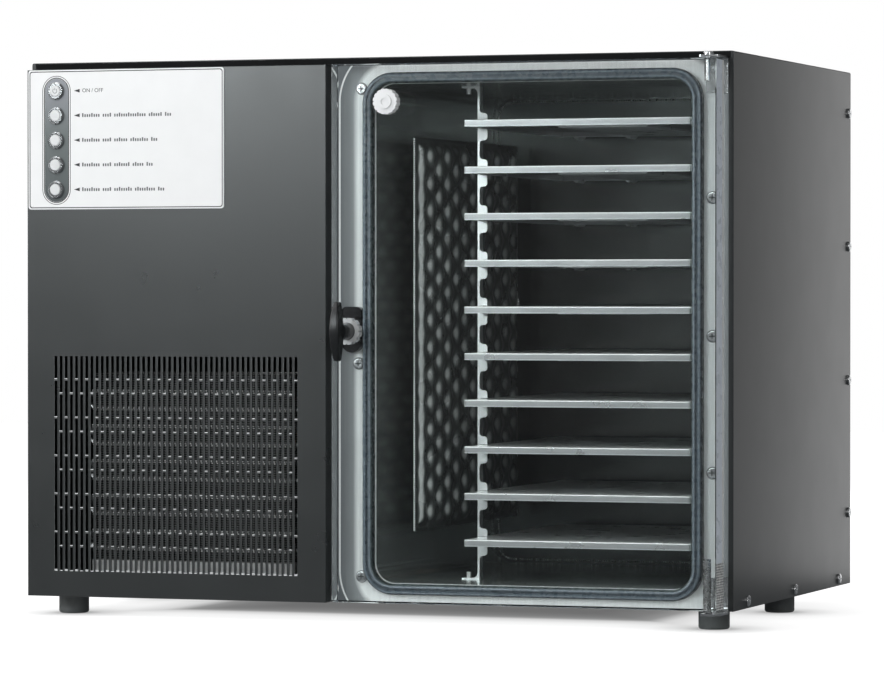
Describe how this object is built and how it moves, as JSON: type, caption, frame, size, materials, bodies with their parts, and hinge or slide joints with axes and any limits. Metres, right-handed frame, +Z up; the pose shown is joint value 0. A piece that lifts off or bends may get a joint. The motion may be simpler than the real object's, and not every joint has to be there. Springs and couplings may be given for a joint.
{
  "type": "freeze dryer",
  "caption": "Bench-top freeze dryer: clear hinged door on a steel vacuum chamber with a stack of heated shelves and a dimpled cold plate, beside a grilled refrigeration bay.",
  "frame": {"origin": "on the floor, below the middle of the overall box", "axes": "+Z up, -Y towards the door (front), +X to the right seen from the front"},
  "size_m": [0.7552, 0.575, 0.5685],
  "materials": {
    "hood_paint": "satin black powder coat",
    "fascia_paint": "satin charcoal powder coat",
    "rear_paint": "satin black powder coat",
    "galvanised_sheet": "zinc-coated sheet",
    "chamber_steel": "brushed stainless steel",
    "seal_rubber": "moulded blue-grey silicone",
    "rail_steel": "bright sheet steel",
    "shelf_aluminium": "satin rolled aluminium",
    "ice_steel": "inflated stainless sheet",
    "copper_pipe": "drawn copper",
    "door_acrylic": "polished clear acrylic",
    "hinge_chrome": "bright plated steel",
    "latch_black": "moulded black nylon",
    "latch_steel": "turned zinc-plated steel",
    "vent_white": "moulded white plastic",
    "control_white": "printed white film on sheet",
    "button_chrome": "bright plated ring",
    "button_white": "white lens",
    "board_laminate": "green glass-fibre board",
    "compressor_paint": "baked black enamel",
    "grommet_rubber": "moulded rubber",
    "coil_aluminium": "pressed fins",
    "shroud_steel": "zinc-coated sheet",
    "motor_paint": "painted casting",
    "rotor_plastic": "moulded black plastic",
    "inlet_plastic": "moulded black plastic",
    "port_steel": "turned stainless steel",
    "foot_rubber": "moulded grey rubber",
    "screw_steel": "zinc-plated screws"
  },
  "bodies": {
    "cabinet": {"hood": "hood_paint", "base_tray": "galvanised_sheet", "rear_panel": "rear_paint", "front_fascia": "fascia_paint", "divider_wall": "galvanised_sheet", "right_post": "galvanised_sheet", "chamber_shell": "chamber_steel", "chamber_flange": "chamber_steel", "chamber_back_plate": "chamber_steel", "door_seal": "seal_rubber", "rail_front_left": "rail_steel", "rail_front_right": "rail_steel", "rail_rear_right": "rail_steel", "shelf_01": "shelf_aluminium", "shelf_02": "shelf_aluminium", "shelf_03": "shelf_aluminium", "shelf_04": "shelf_aluminium", "shelf_05": "shelf_aluminium", "shelf_06": "shelf_aluminium", "shelf_07": "shelf_aluminium", "shelf_08": "shelf_aluminium", "shelf_09": "shelf_aluminium", "shelf_10": "shelf_aluminium", "ice_condenser": "ice_steel", "suction_pipe": "copper_pipe", "injection_pipe": "copper_pipe", "discharge_pipe": "copper_pipe", "filter_drier": "copper_pipe", "hinge_bracket_top": "hinge_chrome", "hinge_bracket_bottom": "hinge_chrome", "hinge_pin_top": "hinge_chrome", "latch_keeper": "latch_black", "control_plate": "control_white", "button_housings": "button_chrome", "control_board": "board_laminate", "compressor": "compressor_paint", "compressor_grommets": "grommet_rubber", "condenser_coil": "coil_aluminium", "fan_shroud": "shroud_steel", "fan_motor": "motor_paint", "mains_inlet": "inlet_plastic", "vacuum_port": "port_steel", "drain_port": "port_steel", "foot_front_left": "foot_rubber", "foot_front_right": "foot_rubber", "foot_rear_left": "foot_rubber", "foot_rear_right": "foot_rubber", "panel_screws": "screw_steel"},
    "door": {"door_plate": "door_acrylic", "hinge_pin_bottom": "hinge_chrome", "latch_rosette": "latch_steel"},
    "latch": {"latch_handle": "latch_black", "latch_spindle": "latch_steel"},
    "vent_valve": {"vent_knob": "vent_white"},
    "fan": {"fan_rotor": "rotor_plastic"},
    "button_power_cap": {"button_power": "button_white"},
    "button_condenser_cap": {"button_condenser": "button_white"},
    "button_vacuum_cap": {"button_vacuum": "button_white"},
    "button_heating_cap": {"button_heating": "button_white"},
    "button_defrost_cap": {"button_defrost": "button_white"}
  },
  "joints": [
    {"name": "door_hinge", "type": "hinge", "parent": "cabinet", "child": "door", "pos_m": [0.356, -0.2275, 0.02], "axis": [0, 0, 1], "range_deg": [0, 110]},
    {"name": "latch_turn", "type": "hinge", "parent": "door", "child": "latch", "pos_m": [-0.012, -0.2415, 0.2935], "axis": [0, 1, 0], "range_deg": [0, 90]},
    {"name": "vent_turn", "type": "hinge", "parent": "door", "child": "vent_valve", "pos_m": [0.029, -0.2415, 0.5218], "axis": [0, -1, 0], "range_deg": [0, 270]},
    {"name": "fan_spin", "type": "hinge", "parent": "cabinet", "child": "fan", "pos_m": [-0.204, -0.0805, 0.134], "axis": [0, 1, 0], "continuous": true},
    {"name": "press_power", "type": "slide", "parent": "cabinet", "child": "button_power_cap", "axis": [0, 1, 0], "range_m": [0, 0.0025], "stiffness_N_per_m": 400},
    {"name": "press_condenser", "type": "slide", "parent": "cabinet", "child": "button_condenser_cap", "axis": [0, 1, 0], "range_m": [0, 0.0025], "stiffness_N_per_m": 400},
    {"name": "press_vacuum", "type": "slide", "parent": "cabinet", "child": "button_vacuum_cap", "axis": [0, 1, 0], "range_m": [0, 0.0025], "stiffness_N_per_m": 400},
    {"name": "press_heating", "type": "slide", "parent": "cabinet", "child": "button_heating_cap", "axis": [0, 1, 0], "range_m": [0, 0.0025], "stiffness_N_per_m": 400},
    {"name": "press_defrost", "type": "slide", "parent": "cabinet", "child": "button_defrost_cap", "axis": [0, 1, 0], "range_m": [0, 0.0025], "stiffness_N_per_m": 400}
  ]
}
